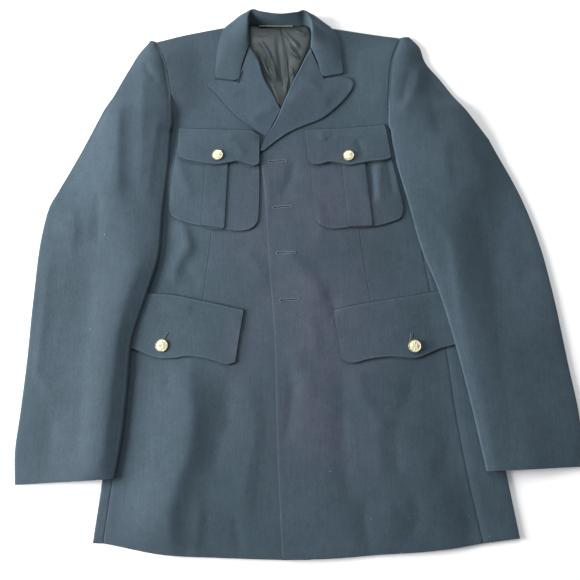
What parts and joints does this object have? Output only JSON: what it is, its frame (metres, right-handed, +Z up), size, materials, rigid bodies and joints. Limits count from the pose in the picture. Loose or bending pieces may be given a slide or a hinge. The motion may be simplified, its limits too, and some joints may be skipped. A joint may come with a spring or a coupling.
{
  "type": "dress uniform jacket",
  "caption": "Long single-breasted dress uniform jacket laid flat, with notched lapels, pleated breast pockets with flaps, flapped hip pockets and sleeves laid beside the body.",
  "frame": {"origin": "centre of the laid jacket's bounding box, on the surface that it lies on", "axes": "+Y towards the collar, +X towards the wearer's left sleeve, +Z up out of the surface"},
  "size_m": [0.78, 0.794, 0.0262],
  "materials": {
    "wool": "matte gabardine",
    "satin": "soft satin sheen",
    "brass": "satin gold",
    "tape": "matte woven"
  },
  "bodies": {
    "root": {"back_left": "wool", "back_right": "wool", "side_left": "wool", "side_right": "wool", "front_left": "wool", "front_right": "wool", "sleeve_top_left": "wool", "sleeve_top_right": "wool", "sleeve_under_left": "wool", "sleeve_under_right": "wool", "collar": "wool", "lapel_left": "wool", "lapel_right": "wool", "lining_left": "satin", "lining_right": "satin", "neck_label": "tape", "breast_pocket_left": "wool", "breast_pocket_right": "wool", "pocket_pleat_left": "wool", "pocket_pleat_right": "wool", "breast_flap_left": "wool", "breast_flap_right": "wool", "hip_flap_left": "wool", "hip_flap_right": "wool", "breast_button_left": "brass", "breast_button_right": "brass", "hip_button_left": "brass", "hip_button_right": "brass"}
  },
  "joints": []
}
